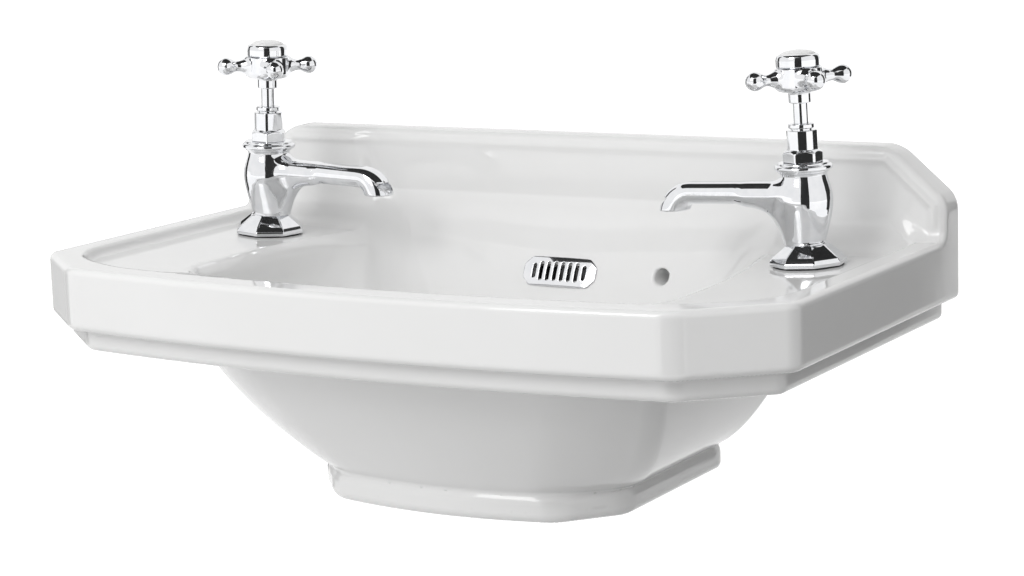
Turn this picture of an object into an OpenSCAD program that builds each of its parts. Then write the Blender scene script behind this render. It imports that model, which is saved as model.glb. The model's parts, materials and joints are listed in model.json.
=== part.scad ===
// Wall-hung basin with an eight-sided bowl, an upstand and two crosshead pillar taps.
// Origin: middle of the wall face, level with the top of the rim. +X to the right as seen
// from the front, +Y to the wall, +Z up. All sizes are in millimetres.

/* [Basin] */
// Width of the basin, side to side
basin_w = 515; // [510:0.5:530]
// Depth from the wall to the middle of the front edge
basin_d = 302.2; // [300:0.1:312]
// How far the front edge bows out in the middle
front_bow = 15.8; // [12:0.1:18]
// Front corner chamfer, measured along the width
corner_w = 52.6; // [48:0.1:56]
// Front corner chamfer, measured along the depth
corner_d = 47; // [43:0.5:50]
// Height of the vertical apron under the rim
apron_h = 38.7; // [36:0.1:41]
// Height of the moulding under the apron
ledge_h = 13.9; // [12:0.1:16]
// How far the moulding is set back from the apron
ledge_inset = 11; // [9:0.5:13]
// Height from the foot's face up to the rim
body_h = 153.2; // [152:0.1:156]
// Width of the raised lip round the rim
lip_w = 16; // [14:0.5:18]

/* [Upstand] */
// Height of the upstand above the rim
upstand_h = 55.9; // [50:0.1:62]
// Thickness of the upstand at its top
upstand_t = 20; // [18:0.5:22]
// Upstand corner chamfer, measured along the width
upstand_cw = 36.5; // [30:0.5:40]
// Upstand corner chamfer, measured along the height
upstand_ch = 31.6; // [28:0.1:34]

/* [Bowl and foot] */
// Half-width of the bowl's opening
bowl_hw = 162; // [158:0.5:164]
// Height of the bowl's floor below the rim
floor_depth = 116; // [114:0.5:118]
// Distance from the wall to the waste's axis
waste_y = 130; // [126:1:134]
// Half-width of the foot
foot_hw = 109.1; // [107:0.1:112]
// Height of the foot's plinth
foot_h = 16.7; // [15:0.1:18]

/* [Tap places] */
// Distance from the basin's middle to each tap, at the deck
tap_x = 195.4; // [194:0.2:197]
// Distance from the wall to each tap
tap_y = 86.3; // [84:0.1:90]
// Depth of the deck below the rim, at the taps
tap_z = 7.8; // [7.4:0.1:8.2]
// Lean of the taps towards the bowl, in degrees
tap_lean = 2.33; // [2:0.01:2.6]

/* [Tap sizes] */
// Radius of the flange on the deck
flange_r = 23.5; // [22.5:0.1:24.5]
// Reach of the spout's outlet from the tap's axis
spout_reach = 87.8; // [84:0.1:92]
// Outer radius of the G 1/2 tail thread
tail_r = 10.48; // [10.4:0.01:10.5]
// Length of the tail below the deck
tail_l = 57; // [50:1:60]
// Radius from the tap's axis to each handle ball
ball_at = 27.5; // [25:0.5:30]
// Radius of each handle ball
ball_r = 5.7; // [5:0.1:6.2]

/* [Waste] */
// Outer radius of the G 1 1/4 waste thread
waste_r = 20.95; // [20.8:0.01:21]
// How far the waste's tail reaches below the foot
waste_below = 12; // [8:1:14]
// How far the plug sinks when it closes
plug_travel = 7; // [5:0.5:7.5]

/* [Overflow and fixings] */
// Width of the overflow grille
grille_w = 54; // [50:0.5:58]
// Height of the overflow grille
grille_h = 20; // [18:0.5:21]
// Number of slots in the grille
grille_slots = 8; // [6:1:9]
// Radius of the hole for a chain stay
chain_hole_r = 5; // [4:0.5:5.5]
// Distance between the two wall bolts
bolt_spacing = 400; // [390:2:410]
// Radius of each wall bolt hole
bolt_hole_r = 6; // [5:0.5:7]

/* [Hidden] */
$fn = 72;

china = [0.94, 0.94, 0.93];
chrome = [0.78, 0.79, 0.81];
brass = [0.78, 0.64, 0.36];
rubber = [0.16, 0.16, 0.17];
plastic = [0.86, 0.87, 0.88];
fibre = [0.55, 0.25, 0.2];
cut = 1; // how far a cutter runs past the face it opens
gap = 0.1; // gap between faces that slide or turn on each other

// ---- Outlines and lofts ----

arc_n = 12; // straight steps in a bowed front
half_w = basin_w / 2;
corner_x = half_w - corner_w;
corner_y = front_bow - basin_d;
side_y = corner_y + corner_d;
back_c = 2; // small chamfer where a side meets the back
moulding_z = -apron_h - ledge_h;
floor_z = -floor_depth;

// A plan is [half-width, y where the side ends, front corner x, front corner y,
// front bow, back corner x, back y, y where the side ends at the back]
function rim_plan(back_y) =
  [half_w, side_y, corner_x, corner_y, front_bow, half_w - back_c, back_y, back_y - back_c];
foot_plan = [foot_hw, -158.4, 78.8, -194.1, 10.6, foot_hw - back_c, -25.3, -25.3 - back_c];
under_plan = [foot_hw + 52, -219, 130, -244.2, 15, foot_hw + 50, -8, -8 - back_c];
opening_plan = [bowl_hw, -222, 105, -240, 7, 138, -30.5, -100];
floor_plan = [72, -168, 46, -182, 4, 46, -92, -112];
pocket_plan = [foot_hw - 14, -152, 72, -179, 9, foot_hw - 20, -39, -45];

// The corner points of a plan, anticlockwise from the back left
function outline(p) = concat(
  [[-p[5], p[6]], [-p[0], p[7]], [-p[0], p[1]]],
  [for (i = [0:arc_n]) let (u = 2 * i / arc_n - 1) [u * p[2], p[3] - p[4] * (1 - u * u)]],
  [[p[0], p[1]], [p[0], p[7]], [p[5], p[6]]]);

function unit(v) = v / norm(v);
function left_of(v) = [-v.y, v.x];

// Moves every side of an outline inwards by d
function inset(pts, d) = let (n = len(pts)) [for (i = [0:n - 1])
  let (u = left_of(unit(pts[i] - pts[(i + n - 1) % n])),
       v = left_of(unit(pts[(i + 1) % n] - pts[i])))
  pts[i] + (u + v) * d / (1 + u * v)];

function ring(pts, z) = [for (p = pts) [p.x, p.y, z]];

// A plan inset by d at height z, with its back left where it is
function inset_ring(p, d, z) = let (a = outline(p), b = inset(a, d), n = len(a))
  [for (i = [0:n - 1]) [b[i].x, (i < 2 || i > n - 3) ? a[i].y : b[i].y, z]];

// Each value of plan a moved towards plan b by its own share
function blend(a, b, side, front, back) =
  let (w = [side, front, front, front, front, side, back, back])
  [for (i = [0:7]) a[i] + (b[i] - a[i]) * w[i]];

// A closed solid through rings that all have the same number of points
module loft(rings) {
  n = len(rings[0]);
  last = len(rings) - 1;
  polyhedron(points = [for (r = rings) each r], convexity = 8, faces = concat(
    [[for (i = [0:n - 1]) i]],
    [for (k = [0:last - 1], i = [0:n - 1]) let (j = (i + 1) % n)
      each [[k * n + i, (k + 1) * n + i, (k + 1) * n + j], [k * n + i, (k + 1) * n + j, k * n + j]]],
    [[for (i = [n - 1:-1:0]) last * n + i]]));
}

// A polygon whose corners are arcs of the given radii
function round_poly(pts, radii, steps = 6) = let (n = len(pts)) [for (i = [0:n - 1])
  let (b = pts[i], u = unit(pts[(i + n - 1) % n] - b), v = unit(pts[(i + 1) % n] - b),
       half = acos(u * v) / 2, r = radii[i], centre = b + unit(u + v) * r / sin(half),
       first = b + u * r / tan(half) - centre, turn = 180 - 2 * half,
       way = (u.x * v.y - u.y * v.x) > 0 ? -1 : 1)
  each r == 0 ? [b] : [for (k = [0:steps]) let (a = way * turn * k / steps)
    centre + [first.x * cos(a) - first.y * sin(a), first.x * sin(a) + first.y * cos(a)]]];

// ---- Basin ----

edge_r = 3; // rounding along the rim and the foot
shelf_fall = 0.3; // slope given to each level shelf under the rim
foot_top = foot_h - body_h;
web_top = floor_z - 4.7; // floor under the waste's flange
web_bottom = -141; // face that the waste's nut pulls against
channel_w = 46;
wall_fix_z = -36; // height of the wall bolts
chain_hole = [73, -30]; // x and z of the hole for a chain stay
deck_under = -24; // underside of the decks
tap_hole_r = 14;
nut_room_r = 22; // round recess over each tap's nut
waste_flange_r = 32;

module outer_shell() {
  under_h = moulding_z - foot_top;
  loft(concat(
    [for (q = [[edge_r, -body_h], [0.9, 0.9 - body_h], [0, edge_r - body_h],
        [0, foot_top - 1.5], [1.5, foot_top]])
      inset_ring(foot_plan, q[0], q[1])],
    [for (s = [0, 0.05, 0.12, 0.22, 0.35, 0.5, 0.67, 0.85, 1])
      let (side = pow(1 - pow(1 - s, 1.4), 0.65), front = pow(s, 0.85))
      inset_ring(blend(foot_plan, under_plan, side, front, s), 3 * (1 - s),
        foot_top + shelf_fall + s * (under_h - shelf_fall))],
    [for (q = [[ledge_inset + 5, moulding_z], [ledge_inset + 1.5, moulding_z + 1.5],
        [ledge_inset, moulding_z + 5], [ledge_inset, -apron_h - shelf_fall], [5, -apron_h],
        [1.5, 1.5 - apron_h], [0, 5 - apron_h], [0, -edge_r], [0.9, -0.9], [edge_r, 0]])
      inset_ring(rim_plan(0), q[0], q[1])]));
}

function deck_z(x) = -tap_z - (tap_x - x) * tan(tap_lean);

// The recessed deck and the bowl below it
module bowl_space() {
  deck_in = lip_w + 6;
  up_y = -upstand_t - 8;
  opening = outline(opening_plan);
  loft(concat(
    [ring(outline(floor_plan), floor_z)],
    [for (q = [[-112, 0.66, 0.82, 0.8], [-105, 0.45, 0.67, 0.66], [-84, 0.27, 0.43, 0.5],
        [-52.6, 0.145, 0.155, 0.341], [-31, 0.055, 0.05, 0.168]])
      ring(outline(blend(opening_plan, floor_plan, q[1], q[2], q[3])), q[0])],
    [[for (p = opening) [p.x, p.y, deck_z(p.y < side_y ? bowl_hw : abs(p.x))]]],
    [for (q = [[deck_in, deck_z(half_w - deck_in)], [lip_w, -1], [lip_w - 1, cut]])
      inset_ring(rim_plan(up_y), q[0], q[1])]));
}

module upstand() {
  foot_z = -14;
  sweep = 26; // radius of the hollow between the upstand and the deck
  front_y = -upstand_t - 5;
  intersection() {
    rotate([90, 0, 0]) linear_extrude(80) polygon(round_poly(
      [[-half_w, foot_z], [half_w, foot_z], [half_w, upstand_h - upstand_ch],
       [half_w - upstand_cw, upstand_h], [upstand_cw - half_w, upstand_h],
       [-half_w, upstand_h - upstand_ch]], [0, 0, 18, 18, 18, 18]));
    translate([-half_w - cut, 0, 0]) rotate([90, 0, 90]) linear_extrude(basin_w + 2 * cut)
      polygon(round_poly([[0, foot_z], [0, upstand_h], [-upstand_t, upstand_h],
        [front_y, -tap_z], [front_y - 32, -tap_z], [front_y - 32, foot_z]],
        [0, 3, 6, sweep, 0, 0]));
  }
}

// Space over the back of the bowl, cut out of the upstand's hollow
module upper_opening() {
  back_tip = [for (i = [0:7]) i == 6 ? opening_plan[i] + 9 : opening_plan[i]];
  loft([ring(outline(opening_plan), deck_z(opening_plan[5])), ring(outline(back_tip), 8)]);
}

module under_deck_space(side) {
  x_in = bowl_hw + 9;
  x_out = half_w - ledge_inset - 15.5;
  translate([0, 0, moulding_z - cut]) linear_extrude(cut + deck_under - moulding_z)
    polygon([for (p = [[x_in, -16], [x_out, -16], [x_out, -226], [x_out - 26, -247],
      [x_in, -228]]) [side * p.x, p.y]]);
}

module overflow_way() {
  translate([-channel_w / 2, 0, 0]) rotate([90, 0, 90]) linear_extrude(channel_w)
    polygon([[-33, -24], [-24, -24], [-36, -84], [-46, -134], [-waste_y, -134],
      [-waste_y, -124], [-60, -124], [-48, -84]]);
}

module basin() {
  color(china) difference() {
    union() {
      difference() {
        outer_shell();
        bowl_space();
      }
      upstand();
    }
    upper_opening();
    under_deck_space(-1);
    under_deck_space(1);
    translate([0, 0, -body_h - cut]) linear_extrude(body_h + cut + web_bottom)
      polygon(outline(pocket_plan));
    overflow_way();
    at_overflow() translate([0, 0, -6.5]) cube([sleeve_w + sleeve_play, sleeve_h + sleeve_play, 15],
      center = true);
    translate([0, -waste_y, -body_h]) cylinder(r = waste_r + 1.8, h = body_h + floor_z);
    translate([0, -waste_y, web_top]) cylinder(r = waste_flange_r + 2, h = 20);
    translate([chain_hole.x, cut, chain_hole.y]) rotate([90, 0, 0])
      cylinder(r = chain_hole_r, h = 60);
    for (side = [-1, 1]) {
      translate([side * bolt_spacing / 2, cut, wall_fix_z]) rotate([90, 0, 0])
        cylinder(r = bolt_hole_r, h = 30);
      place_tap(side) {
        translate([0, 0, -25]) cylinder(r = tap_hole_r, h = 28);
        translate([0, 0, -deck_t - 12]) cylinder(r = nut_room_r, h = 12);
        cylinder(r = flange_r + 0.5, h = 4);
      }
    }
  }
}

// ---- Overflow ----

sleeve_w = 44;
sleeve_h = 13;
sleeve_play = 0.6; // by which the sleeve's hole is larger
grille_t = 2.6;
wall_slope = 26.2; // slope of the bowl's back wall, from the vertical

// Local z points out of the bowl's back wall, local y up along it
module at_overflow() {
  translate([0, -40.85, -31]) rotate([90 - wall_slope, 0, 0]) children();
}

module slot(w, h, depth) {
  for (s = [-1, 1]) translate([0, s * (h - w) / 2, 0]) cylinder(d = w, h = depth, $fn = 32);
  translate([-w / 2, (w - h) / 2, 0]) cube([w, h - w, depth]);
}

module overflow_cover() {
  corner = 5.5;
  pitch = 5.2;
  slot_w = 2.5;
  w = grille_w / 2;
  h = grille_h / 2;
  color(chrome) at_overflow() difference() {
    translate([0, 0, gap]) linear_extrude(grille_t) polygon([[-w, corner - h], [corner - w, -h],
      [w - corner, -h], [w, corner - h], [w, h - corner], [w - corner, h], [corner - w, h],
      [-w, h - corner]]);
    for (i = [0:grille_slots - 1]) {
      x = (i - (grille_slots - 1) / 2) * pitch;
      long = (i == 0 || i == grille_slots - 1) ? grille_h - 10.5 : grille_h - 7.5;
      translate([x, 0, -cut]) slot(slot_w, long, grille_t + 3 * cut);
    }
  }
}

module overflow_sleeve() {
  wall = 1.3;
  color(plastic) at_overflow() difference() {
    translate([-sleeve_w / 2, -sleeve_h / 2, -6]) cube([sleeve_w, sleeve_h, 6]);
    translate([wall - sleeve_w / 2, wall - sleeve_h / 2, -7])
      cube([sleeve_w - 2 * wall, sleeve_h - 2 * wall, 8]);
  }
}

// ---- Waste and plug ----

flange_top = floor_z - 1;
seal_top = web_top + 1.2;
waste_end = -body_h - waste_below;
washer_z = web_bottom - 3; // underside of the waste's washer
slip_z = washer_z - 1.5; // underside of the ring that the nut turns against
tube_r = 17.5; // inside of the waste
guide_r = 7;
guide_top = -121;
guide_bottom = -151;
stem_r = 3;
collar_top = guide_top - 2 - gap;
cap_gap = 1; // left under the cap's rim when the plug is shut
cap_z = flange_top + cap_gap + plug_travel;

module at_waste() {
  translate([0, -waste_y, 0]) children();
}

module tube(r_out, r_in, z0, z1) {
  translate([0, 0, z0]) difference() {
    cylinder(r = r_out, h = z1 - z0);
    translate([0, 0, -cut]) cylinder(r = r_in, h = z1 - z0 + 2 * cut);
  }
}

module waste_body() {
  bar = 3;
  color(chrome) at_waste() {
    difference() {
      rotate_extrude() polygon([[tube_r, waste_end], [waste_r, waste_end],
        [waste_r, -body_h - 1.4], [waste_r - 0.9, -body_h - 1.4], [waste_r - 0.9, -body_h - 0.4],
        [waste_r, -body_h - 0.4], [waste_r, seal_top], [waste_flange_r, seal_top],
        [waste_flange_r, flange_top - 0.6], [waste_flange_r - 0.6, flange_top],
        [tube_r + 4, flange_top - 0.8], [tube_r, flange_top - 3]]);
      for (a = [0:90:270]) rotate([0, 0, a + 45]) translate([tube_r - 3, -5, -134])
        cube([10, 10, 10]);
    }
    difference() {
      union() {
        tube(guide_r + 2.5, guide_r, -131, -123);
        for (a = [0:120:240]) rotate([0, 0, a]) translate([guide_r + 1, -bar / 2, -131])
          cube([tube_r - guide_r - 0.4, bar, 8]);
      }
      translate([0, 0, -132]) cylinder(r = guide_r, h = 10);
    }
  }
}

module waste_seal() {
  color(rubber) at_waste() tube(waste_flange_r - 1, waste_r + gap, web_top, seal_top);
}

module waste_washer() {
  color(rubber) at_waste() tube(30, waste_r + gap, washer_z, web_bottom);
}

module waste_slip_ring() {
  color(plastic) at_waste() tube(29, waste_r + gap, slip_z, washer_z);
}

module waste_back_nut() {
  nut_h = 7.5;
  color(brass) at_waste() translate([0, 0, slip_z - nut_h]) difference() {
    cylinder(r = 29.5, h = nut_h, $fn = 6);
    translate([0, 0, -cut]) cylinder(r = waste_r, h = nut_h + 2 * cut);
  }
}

module plug_guide() {
  end = 2;
  color(chrome) at_waste() difference() {
    translate([0, 0, guide_bottom]) cylinder(r = guide_r, h = guide_top - guide_bottom);
    translate([0, 0, guide_bottom + end]) cylinder(r = 5.6, h = guide_top - guide_bottom - 2 * end);
    translate([0, 0, guide_bottom - cut]) cylinder(r = stem_r + 0.05, h = 40);
  }
}

// A round wire wound into a helix
module plug_spring() {
  wire = 0.6;
  mean = 4.35;
  turns = 7;
  per_turn = 16;
  z0 = guide_bottom + 2 + wire + gap;
  z1 = collar_top - 3 - wire - gap;
  steps = turns * per_turn;
  color([0.6, 0.62, 0.65]) at_waste() loft([for (k = [0:steps])
    let (a = 360 * k / per_turn, z = z0 + (z1 - z0) * k / steps)
    [for (i = [5:-1:0]) let (t = 60 * i, r = mean + wire * cos(t))
      [r * cos(a), r * sin(a), z + wire * sin(t)]]]);
}

module plug_stem() {
  color(brass) at_waste() {
    translate([0, 0, guide_bottom - 1]) cylinder(r = stem_r, h = cap_z - 2 - guide_bottom + 1);
    translate([0, 0, collar_top - 3]) cylinder(r = 5.3, h = 3);
  }
}

module plug_cap() {
  cap_r = 30;
  boss_r = 12;
  color(chrome) at_waste() difference() {
    rotate_extrude() polygon([[0, cap_z - 4], [boss_r + 3, cap_z - 4], [boss_r + 3, cap_z - 3.4],
      [boss_r, cap_z - 3.4], [boss_r, cap_z], [cap_r - 1, cap_z], [cap_r, cap_z + 0.8],
      [cap_r, cap_z + 1.8], [cap_r - 1.5, cap_z + 3], [18, cap_z + 4.2], [0, cap_z + 4.8]]);
    translate([0, 0, cap_z - 4 - cut]) cylinder(r = stem_r, h = 2 + cut);
  }
}

module plug_ring() {
  color(rubber) at_waste() tube(tube_r - 0.2, 12, cap_z - 3.4, cap_z - 0.4);
}

// ---- Taps: local z is the tap's axis, 0 at the deck, and the spout points along -x ----

deck_t = 15.5;
flange_h = 13;
flange_turn = 10; // how far the faceted flanges are turned from the tap's own axes
bonnet_turn = 30; // the cold bonnet is screwed up half a flat further
body_top = 62;
bonnet_seal_t = 0.8;
seat_h = 38; // height of the valve's seat
seat_r = 5; // water way through the seat
stem_top = 114;
screw_r = 1.6; // screw on top of the spindle, and pin under the jumper
washer_t = 3; // thickness of the valve's washer
jumper_z = seat_h + gap + washer_t;
hub_top = 118;
disc_z = hub_top + 3; // underside of the index disc
disc_r = 10.5;
spindle_r = 4.4;
thread_r = 5.4; // working thread of the spindle
hub_h = 111.8;
fit_gap = 0.06; // running clearance on the radius
pin_bore = 2.5; // bore in the spindle for the jumper's pin

module place_tap(side) {
  translate([side * tap_x, -tap_y, -tap_z]) rotate([0, 0, side > 0 ? 0 : 180])
    rotate([0, -tap_lean, 0]) children();
}

module deck_gasket() {
  color(rubber) tube(flange_r - 2.3, 14, 0, 1);
}

module eight_sided(z0, z1, r0, r1) {
  translate([0, 0, z0]) rotate([0, 0, 22.5]) cylinder(r1 = r0, r2 = r1, h = z1 - z0, $fn = 8);
}

module base_flange() {
  bevel_r = flange_r - 1.8;
  color(chrome) difference() {
    union() {
      eight_sided(1, 3.4, flange_r, flange_r);
      eight_sided(3.4, 6, flange_r, bevel_r);
      eight_sided(6, flange_h - 0.8, bevel_r, 13.6);
      translate([0, 0, 2]) cylinder(r = 11.8, h = flange_h - 2);
    }
    translate([0, 0, -cut]) cylinder(r = tail_r + 0.1, h = flange_h + 2 * cut);
  }
}

// One ring of the spout: middle (x, h), dip of its axis, half-height, half-width
function spout_ring(x, h, dip, b, a, sides = 20) = [for (i = [0:sides - 1])
  let (t = 360 * i / sides, across = -a * sign(cos(t)) * pow(abs(cos(t)), 0.86),
       up = b * sign(sin(t)) * pow(abs(sin(t)), 0.86))
  [x - sin(dip) * up, across, h + cos(dip) * up]];

module spout() {
  tip = spout_reach;
  loft([spout_ring(-1, 38, 0, 11, 7), spout_ring(-11, 33, 0, 16, 8),
    spout_ring(-17.7, 37.3, 0, 12.8, 8.6), spout_ring(-23, 40.4, 0, 9.7, 8.8),
    spout_ring(-30, 42.9, 0, 7.4, 8.7), spout_ring(-41, 43.7, 0, 6.6, 8.6),
    spout_ring(-54, 43.6, 0, 6.6, 8.6), spout_ring(18 - tip, 43.2, 4, 6.9, 8.8),
    spout_ring(9.6 - tip, 41.4, 24, 7.7, 9.2), spout_ring(3.8 - tip, 38.4, 50, 8.7, 9.6),
    spout_ring(0.8 - tip, 35.2, 74, 9.5, 9.9), spout_ring(-tip, 32.8, 88, 10, 10)]);
}

module tap_body() {
  color(chrome) difference() {
    union() {
      rotate_extrude() polygon([[0, -tail_l], [tail_r - 0.8, -tail_l], [tail_r, 0.8 - tail_l],
        [tail_r, -28.4], [tail_r - 0.8, -28.4], [tail_r - 0.8, -27.6], [tail_r, -27.6],
        [tail_r, flange_h], [11.3, flange_h], [11.6, flange_h + 0.7], [11.1, flange_h + 1.6],
        [12.2, 18], [13.8, 24], [15.4, 30], [16.4, 36], [16.6, 39], [16.2, 44], [15, 49],
        [13.7, 53], [13, 55.6], [14, 56.4], [16.6, 56.9], [17.4, 58.2], [17.4, 59.6],
        [16.8, 60.8], [15, body_top], [0, body_top]]);
      spout();
    }
    translate([0, 0, -tail_l - cut]) cylinder(r = 6.5, h = tail_l + 30);
    cylinder(r = seat_r, h = seat_h + cut);
    translate([0, 0, seat_h - 1]) difference() {
      cylinder(r = 8.4, h = 60);
      cylinder(r = seat_r + 1.2, h = 1);
    }
    translate([0, 0, 50.5]) cylinder(r = 9, h = 20);
    translate([0, 0, 43.5]) rotate([0, -90, 0]) cylinder(r = 4, h = spout_reach);
    translate([-spout_reach, 0, 25]) cylinder(r = 7, h = 12);
    translate([-spout_reach, 0, 30]) cylinder(r = 4, h = 13.5);
  }
}

module deck_washer() {
  color(plastic) tube(20, tail_r + gap, -deck_t - 2, -deck_t);
}

module back_nut() {
  color(brass) difference() {
    union() {
      translate([0, 0, -deck_t - 4.5]) cylinder(r = 18, h = 2.5);
      translate([0, 0, -deck_t - 11.5]) cylinder(r = 15.6, h = 7, $fn = 6);
    }
    translate([0, 0, -deck_t - 12.5]) cylinder(r = tail_r, h = 12);
  }
}

module bonnet_seal() {
  color(fibre) tube(10.4, 9, body_top, body_top + bonnet_seal_t);
}

module bonnet() {
  hex_z = body_top + bonnet_seal_t;
  barrel_z = 69.5;
  barrel_top = 81;
  color(chrome) difference() {
    union() {
      translate([0, 0, 50.6]) cylinder(r = 8.95, h = hex_z - 50.6 + cut);
      intersection() {
        translate([0, 0, hex_z]) cylinder(r = 12.2, h = barrel_z - hex_z, $fn = 6);
        translate([0, 0, hex_z]) rotate_extrude() polygon([[0, 0], [11.4, 0], [11.9, 0.6],
          [11.9, 5.4], [10.2, barrel_z - hex_z], [0, barrel_z - hex_z]]);
      }
      intersection() {
        translate([0, 0, barrel_z - cut]) cylinder(r = 9.4, h = barrel_top - barrel_z + cut);
        translate([0, 0, barrel_z - cut]) rotate([0, 0, 22.5])
          cylinder(r = 9.75, h = barrel_top - barrel_z + cut, $fn = 8);
      }
    }
    translate([0, 0, 50]) cylinder(r = thread_r + fit_gap, h = 22.5);
    translate([0, 0, 72]) cylinder(r = spindle_r + fit_gap, h = 10);
    translate([0, 0, 76]) cylinder(r = 6.5, h = 6);
  }
}

module gland_packing() {
  color(rubber) tube(6.4, spindle_r + 0.05, 76, 78.9);
}

module gland_nut() {
  color(chrome) difference() {
    union() {
      translate([0, 0, 79]) cylinder(r = 6.4, h = 4);
      translate([0, 0, 82]) rotate_extrude() polygon([[0, 0], [7.4, 0], [7.9, 0.5],
        [7.9, 2.5], [7.4, 3], [0, 3]]);
    }
    translate([0, 0, 78]) cylinder(r = spindle_r + fit_gap, h = 8);
  }
}

module spindle() {
  color(chrome) difference() {
    union() {
      translate([0, 0, 46.5]) cylinder(r = thread_r, h = 20.5);
      translate([0, 0, 66]) cylinder(r = spindle_r, h = 38);
      translate([0, 0, 104]) cylinder(r = 4, h = stem_top - 104);
    }
    translate([0, 0, 45.5]) cylinder(r = pin_bore, h = 12.5);
    translate([0, 0, stem_top - 9]) cylinder(r = screw_r, h = 10);
  }
}

module jumper() {
  color(brass) {
    translate([0, 0, jumper_z]) cylinder(r = 7.2, h = 1.6);
    translate([0, 0, jumper_z]) cylinder(r = pin_bore - fit_gap, h = 12.9);
    translate([0, 0, seat_h - 3.5]) cylinder(r = screw_r, h = 7);
  }
}

module valve_washer() {
  color(rubber) tube(7, screw_r, seat_h + gap, jumper_z);
}

module jumper_nut() {
  color(brass) difference() {
    translate([0, 0, seat_h - 2.2]) cylinder(r = 3.4, h = 2.3, $fn = 6);
    translate([0, 0, seat_h - 4]) cylinder(r = screw_r, h = 6);
  }
}

// One arm along +x: a waisted neck that ends in a ball
module handle_arm() {
  neck_a = 38; // where the neck meets the ball, as an angle at the ball's middle
  rotate([0, 90, 0]) rotate_extrude() polygon(concat(
    [[0, 8], [6.2, 8], [6, 13], [4.6, 15.6], [3.6, 18], [3.4, 20.5]],
    [for (a = [neck_a:(180 - neck_a) / 12:180]) [ball_r * sin(a), ball_at - ball_r * cos(a)]]));
}

module handle() {
  color(chrome) difference() {
    union() {
      rotate_extrude() polygon([[0, 97], [5.9, 97], [6.6, 97.8], [6.7, 103.4], [11, 103.8],
        [13.3, 105], [14.2, 107.4], [14.2, 115], [13.4, 117.2], [12.6, hub_top], [0, hub_top]]);
      for (a = [45:90:315]) rotate([0, 0, a]) translate([0, 0, hub_h]) handle_arm();
    }
    translate([0, 0, 96]) cylinder(r = spindle_r, h = 8);
    translate([0, 0, 103]) cylinder(r = 4, h = 11);
    translate([0, 0, stem_top - cut]) cylinder(r = 6, h = 10);
  }
}

module handle_screw() {
  color(brass) {
    translate([0, 0, stem_top - 8]) cylinder(r = screw_r, h = 9);
    difference() {
      translate([0, 0, stem_top]) cylinder(r = 4, h = 2.4);
      translate([-0.5, -5, stem_top + 1.4]) cube([1, 10, 2]);
    }
  }
}

module index_ring() {
  color(chrome) difference() {
    translate([0, 0, hub_top]) rotate_extrude() polygon([[0, 0], [12.4, 0], [13.2, 0.8],
      [13.2, 5.4], [12.6, 7.2], [11.6, 7.9], [0, 7.9]]);
    translate([0, 0, disc_z]) cylinder(r = disc_r + gap, h = 8);
  }
}

module index_disc() {
  edge_z = disc_z + 4.7;
  crown = 2.8; // rise of the disc's middle over its edge
  color(china) rotate_extrude() polygon(concat([[0, disc_z], [disc_r, disc_z]],
    [for (a = [0:18:90]) [disc_r * (1 - a / 90), edge_z + crown * sin(a)]]));
}

module hot() {
  place_tap(-1) children();
}

module cold() {
  place_tap(1) children();
}

basin();
overflow_cover();
overflow_sleeve();
waste_body();
waste_seal();
waste_washer();
waste_slip_ring();
waste_back_nut();
plug_guide();
plug_spring();
plug_stem();
plug_cap();
plug_ring();
hot() tap_body();  // hot_tap_body
hot() rotate([0, 0, -flange_turn]) base_flange();  // hot_base_flange
hot() deck_gasket();  // hot_deck_gasket
hot() deck_washer();  // hot_deck_washer
hot() back_nut();  // hot_back_nut
hot() bonnet();  // hot_bonnet
hot() bonnet_seal();  // hot_bonnet_seal
hot() gland_nut();  // hot_gland_nut
hot() gland_packing();  // hot_gland_packing
hot() spindle();  // hot_spindle
hot() jumper();  // hot_jumper
hot() valve_washer();  // hot_valve_washer
hot() jumper_nut();  // hot_jumper_nut
hot() handle();  // hot_handle
hot() handle_screw();  // hot_handle_screw
hot() index_ring();  // hot_index_ring
hot() index_disc();  // hot_index_disc
cold() tap_body();  // cold_tap_body
cold() rotate([0, 0, flange_turn]) base_flange();  // cold_base_flange
cold() deck_gasket();  // cold_deck_gasket
cold() deck_washer();  // cold_deck_washer
cold() back_nut();  // cold_back_nut
cold() rotate([0, 0, bonnet_turn]) bonnet();  // cold_bonnet
cold() bonnet_seal();  // cold_bonnet_seal
cold() gland_nut();  // cold_gland_nut
cold() gland_packing();  // cold_gland_packing
cold() spindle();  // cold_spindle
cold() jumper();  // cold_jumper
cold() valve_washer();  // cold_valve_washer
cold() jumper_nut();  // cold_jumper_nut
cold() handle();  // cold_handle
cold() handle_screw();  // cold_handle_screw
cold() index_ring();  // cold_index_ring
cold() index_disc();  // cold_index_disc
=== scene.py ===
"""A wall-hung basin with an eight-sided bowl and two crosshead pillar taps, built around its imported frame.

The frame is in metres. Shapes are worked out here in millimetres and scaled when a mesh is made.
"""

import json
import math

import bpy
import numpy as np
from mathutils import Matrix, Vector


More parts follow.
